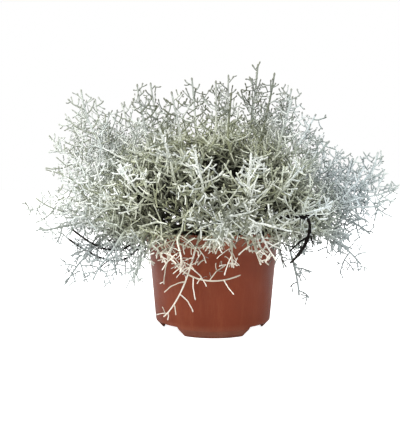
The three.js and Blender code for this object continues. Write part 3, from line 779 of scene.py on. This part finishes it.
def bare(lines):
    """Whether a line is one of those that the slender stems have lost where they hang low."""
    low = (tips(lines)[:, 2] < BARE_HEIGHT) & (slender[lines.keys[0]] < 1)
    return low & (chance(*lines.keys, 25) > BARE_KEEP)


def sticks(lines, rings, sides, foot, tip, bud, knobs):
    """Closed sticks round every line: rings of a number of sides, even along the line up to the bud,
    then one at the bud's widest and one near its end, and a point at the tip. The radius runs from
    foot to tip and swells to bud, is less on slender stems, and each ring's is drawn within knobs of
    that."""
    count = len(lines.length)
    i = np.broadcast_to(np.arange(count)[:, None], (count, rings))
    bud_part = np.minimum(BUD_MOST, BUD_LENGTH / lines.length)[:, None]
    even = (1 - bud_part) * np.linspace(0, 1, rings - 2)
    s = np.concatenate([even, 1 - BUD_WIDEST * bud_part, 1 - BUD_END * bud_part], 1)
    shape = foot + (tip - foot) * np.linspace(0, 1, rings - 2)
    lumps = 1 + knobs * (2 * chance(*(key[:, None] for key in lines.keys), np.arange(rings), 21) - 1)
    radius = slender[lines.keys[0]][:, None] * np.concatenate([shape, [bud, BUD_ROUND * bud]]) * lumps
    centre, along = lines.at(i, s), lines.along(i, s)
    reference = lines.side[:, None]
    first = unit(reference - np.sum(reference * along, -1, keepdims=True) * along)
    second = np.cross(along, first)
    turns = 2 * math.pi * np.arange(sides)[:, None] / sides
    out = np.cos(turns) * first[:, :, None] + np.sin(turns) * second[:, :, None]
    ring = centre[:, :, None] + radius[:, :, None, None] * out
    end = lines.at(i[:, :1], np.ones((count, 1)))
    points = np.concatenate([ring.reshape(count, -1, 3), end], 1) * MM
    age = np.concatenate([np.repeat(lines.age(i, s), sides, 1), lines.age(i[:, :1], np.ones((count, 1)))], 1)
    tint = np.broadcast_to(chance(*lines.keys, 22)[:, None], age.shape)
    on_bud = np.append(np.repeat(np.arange(rings) >= rings - 2, sides), True)
    on_bud = np.broadcast_to(on_bud, age.shape)
    number = np.arange(rings * sides).reshape(rings, sides)
    after = np.roll(number, -1, axis=1)
    quads = np.stack([number[:-1], after[:-1], after[1:], number[1:]], -1).reshape(-1, 4)
    root = number[:1, ::-1]
    point = np.stack([number[-1], after[-1], np.full(sides, rings * sides)], -1)
    return SimpleNamespace(stem=lines.keys[0], points=points, values=dict(age=age, tint=tint, bud=on_bud),
                           faces=[quads, root, point])


def stem_piece(number, levels, material):
    """One stem with all that grows on it, as one piece that stands for its solid. The mesh keeps the
    age and tint of its shoots and where their buds are."""
    name = names[number]
    points, faces, start = [], [], 0
    for level in levels:
        chosen = np.flatnonzero(level.stem == number)
        each = level.points.shape[1]
        begin = start + each * np.arange(len(chosen))
        faces += [(block[None] + begin[:, None, None]).reshape(-1, block.shape[1]) for block in level.faces]
        points.append(level.points[chosen].reshape(-1, 3))
        start += each * len(chosen)
    piece = make_piece(f"fine_{name}", np.concatenate(points), faces)
    for key in ("age", "tint", "bud"):
        values = [level.values[key][level.stem == number].ravel() for level in levels]
        attribute = piece.data.attributes.new(key, "FLOAT", "POINT")
        attribute.data.foreach_set("value", np.concatenate(values).astype(np.float32))
    piece.data.materials.append(material)
    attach(piece, "root")
    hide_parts(name)


def attribute_value(tree, name):
    """The socket of a number kept on the mesh."""
    made = tree.nodes.new("ShaderNodeAttribute")
    made.attribute_name = name
    return made.outputs["Fac"]


def felt_material():
    """Silver felt. Each shoot is tinted between cool and warm white, and about a quarter of them are
    old and olive. Scale leaves show as dull specks, the felt's hairs as fine bump and a pale sheen.
    Washes of painted light and shade then follow the place on the bush: painted shade greys the top
    shoots, as if lit from behind, and a cool painted shade darkens the right, away from the key lamp;
    the buds darken, partly in their own tone and partly in painted shade that grows with height; a
    painted shade dulls the outer shell against the white room; painted shade, deeper on the older
    shoots, darkens the middle of the crown and the skirt over the pot; an even grey painted shade lies
    on the fringe beside the pot, and a cream painted reflection of the pot on the shoots in front of
    it. Inside, the felt is a dull yellow, partly older foliage and partly painted shade, then nearly
    black at the heart, a flattened ball round the top of the pot, in painted shade with the dark old
    wood, and brown at a stem's foot."""
    material, tree, surface = new_material("silver felt", 0.9, 0.15)
    point = object_point(tree)
    x, _, z = node(tree, "ShaderNodeSeparateXYZ", Vector=point).outputs
    aside = maths(tree, "ABSOLUTE", x)
    shade_point = node(tree, "ShaderNodeMapping", Vector=point, Scale=[1 / reach for reach in SHADE_REACH],
                       Location=(0, 0, -SHADE_HEIGHT / SHADE_REACH[2]))
    length = tree.nodes.new("ShaderNodeVectorMath")
    length.operation = "LENGTH"
    tree.links.new(shade_point.outputs[0], length.inputs[0])
    distance = length.outputs["Value"]
    tint = attribute_value(tree, "tint")
    old_shoots = ranged(tree, tint, 0.3, 0.2, 0.0, 0.8)
    scales = ranged(tree, uneven_mask(tree, point, 120.0, 1100.0, 0.65), 0.75, 0.1, 0.0, 0.5)
    # Painted shade: the shoots high on the top are greyed, as if lit from behind.
    painted_top_shade = ranged(tree, z, 0.165, 0.205, 0.0, 0.65)
    # Painted shade: a cool, darker blue-grey on the right, the side away from the key lamp.
    painted_right_shade = ranged(tree, x, 0.03, 0.12, 0.0, 0.5)
    # Buds darken partly in their own tone and partly in painted shade that grows with height.
    bud_share = ranged(tree, z, 0.13, 0.19, 0.15, 0.8)
    bud_tone_and_shade = maths(tree, "MULTIPLY", attribute_value(tree, "bud"), bud_share)
    # Painted shade: the outer shell is duller, as the outermost shoots are backlit by the white room.
    painted_shell_shade = ranged(tree, distance, 0.85, 1.1, 0.0, 0.55)
    middle = ranged(tree, aside, 0.075, 0.04)
    # Painted shade in the middle of the bush, deeper on the older shoots: on the skirt over the pot, which
    # lies under the dome, and on the middle of the crown.
    middle_shade_by_shoot = maths(tree, "MULTIPLY", ranged(tree, tint, 0.6, 0.4, 0.25, 0.9), middle)
    skirt = maths(tree, "MULTIPLY", ranged(tree, z, 0.15, 0.115), middle_shade_by_shoot)
    crown = maths(tree, "MULTIPLY", ranged(tree, z, 0.13, 0.155, 0.0, 0.8), middle_shade_by_shoot)
    # Painted shade: an even grey on the low shoots beside the pot, which keeps their lit sides from washing
    # out.
    beside_pot = ranged(tree, aside, 0.055, 0.07)
    fringe = maths(tree, "MULTIPLY", ranged(tree, z, 0.11, 0.075, 0.0, 0.85), beside_pot)
    # Painted light on the low shoots: a cream painted reflection of the pot in front of it, and the fringe's
    # grey painted shade beside it.
    pot_reflection_and_shade = mixed(tree, ranged(tree, aside, 0.04, 0.052), rgba("e8dccb"), rgba("8e9595"))
    hanging = ranged(tree, z, 0.09, 0.07, 0.0, 0.5)
    above_soil = ranged(tree, z, 0.07, 0.088)
    # Inside the bush: a dull yellow, partly older foliage and partly painted shade.
    inside = maths(tree, "MULTIPLY", ranged(tree, distance, 0.74, 0.5, 0.0, 0.6), above_soil)
    # Nearly black at the heart: painted shade deep in the bush, with the dark old wood.
    heart = maths(tree, "MULTIPLY", ranged(tree, distance, 0.57, 0.42, 0.0, 0.96), above_soil)
    brown_foot = ranged(tree, attribute_value(tree, "age"), 0.72, 0.95, 0.0, 0.85)
    colour = mixed(tree, tint, rgba("d2dbdb"), rgba("f4f6ef"))
    for part, wash in ((old_shoots, rgba("6e7150")), (scales, rgba("828880")), (painted_top_shade, rgba("6d716e")),
                       (painted_right_shade, rgba("98a7b3")), (bud_tone_and_shade, rgba("57534b")),
                       (painted_shell_shade, rgba("a0a59a")), (skirt, rgba("5e6152")), (crown, rgba("555945")),
                       (fringe, rgba("8e9595")), (hanging, pot_reflection_and_shade), (inside, rgba("c4c79f")),
                       (heart, rgba("1a190b")), (brown_foot, rgba("272413"))):
        colour = mixed(tree, part, colour, wash)
    tree.links.new(colour, surface.inputs["Base Color"])
    surface.inputs["Sheen Weight"].default_value = 0.06
    surface.inputs["Sheen Roughness"].default_value = 0.6
    add_bump(tree, surface, uneven_mask(tree, point, 900.0, 3200.0, 0.5), 0.5, 0.25 * MM)
    return material


hang = np.clip((pulls[:, 3, 2] - HANG_HEIGHT) / HANG_RANGE, HANG_MOST, 1)
slender = np.where([name.endswith(SLENDER_STEMS) for name in names], SLENDER, 1.0)
stems = SimpleNamespace(
    keys=[np.arange(len(names))], length=np.linalg.norm(pulls[:, 3] - pulls[:, 0], axis=-1), side=stem_side,
    lift=hang, at=stem_at, along=stem_along, age=lambda i, t: 1 - t)
leafy = kept(stems, np.arange(len(names)) < len(names) - len(OLD_STEMS))
branches = offshoots(BRANCH, leafy)
branches = kept(branches, clear_of_pot(branches))
twigs = offshoots(TWIG, branches)
twigs = kept(twigs, clear_of_pot(twigs) & (twigs.length > TWIG_LEAST) & ~bare(twigs))
spurs = offshoots(SPUR, twigs)
least = np.where(tips(spurs)[:, 2] > TOP_HEIGHT, TOP_SPUR_LEAST, SPUR_LEAST)
spurs = kept(spurs, clear_of_pot(spurs) & (spurs.length > least) & (from_heart(spurs) > SPUR_PART)
             & ~bare(spurs))
dead = offshoots(DEAD, branches)
dead = kept(dead, clear_of_pot(dead) & (from_heart(dead) < DEAD_PART))
dead.age = lambda i, s: np.full(s.shape, DEAD_AGE)
levels = [
    sticks(leafy, rings=44, sides=8, foot=1.5, tip=0.72, bud=0.85, knobs=0.08),
    sticks(branches, rings=10, sides=5, foot=0.68, tip=0.56, bud=0.74, knobs=0.12),
    sticks(twigs, rings=6, sides=4, foot=0.56, tip=0.5, bud=0.68, knobs=0.12),
    sticks(spurs, rings=4, sides=3, foot=0.54, tip=0.5, bud=0.66, knobs=0.12),
    sticks(dead, rings=4, sides=3, foot=0.5, tip=0.4, bud=0.42, knobs=0.12),
]
felt = felt_material()
for number in range(len(leafy.length)):
    stem_piece(number, levels, felt)


# Old stems: three bare, dry and knobbly ones that arch out over the rim, with the stubs of branches
# that have lost their felt. Their bark is nearly black and worn grey towards the tips.
OLD_KEEP = 0.5


def bark_material():
    """Blackish bark with paler specks, a rough grain and a worn grey at the tips."""
    material, tree, surface = new_material("dry bark", 0.95, 0.04)
    point = object_point(tree)
    specks = uneven_mask(tree, point, 180.0, 1500.0, 0.6)
    colour = mixed(tree, specks, rgba("040303"), rgba("141110"))
    worn = ranged(tree, attribute_value(tree, "age"), 0.15, 0.0, 0.0, 0.15)
    tree.links.new(mixed(tree, worn, colour, rgba("5c5b54")), surface.inputs["Base Color"])
    add_bump(tree, surface, specks, 0.6, 0.3 * MM)
    return material


old = kept(stems, np.arange(len(names)) >= len(leafy.length))
stubs = offshoots(BRANCH, old)
stubs = kept(stubs, clear_of_pot(stubs) & (chance(*stubs.keys, 23) < OLD_KEEP))
ends = offshoots(TWIG, stubs)
ends = kept(ends, clear_of_pot(ends) & (chance(*ends.keys, 23) < OLD_KEEP))
levels = [
    sticks(old, rings=44, sides=8, foot=1.5, tip=1.2, bud=1.1, knobs=0.25),
    sticks(stubs, rings=9, sides=6, foot=0.85, tip=0.6, bud=0.6, knobs=0.15),
    sticks(ends, rings=5, sides=5, foot=0.5, tip=0.4, bud=0.4, knobs=0.15),
]
bark = bark_material()
for number in range(len(leafy.length), len(names)):
    stem_piece(number, levels, bark)
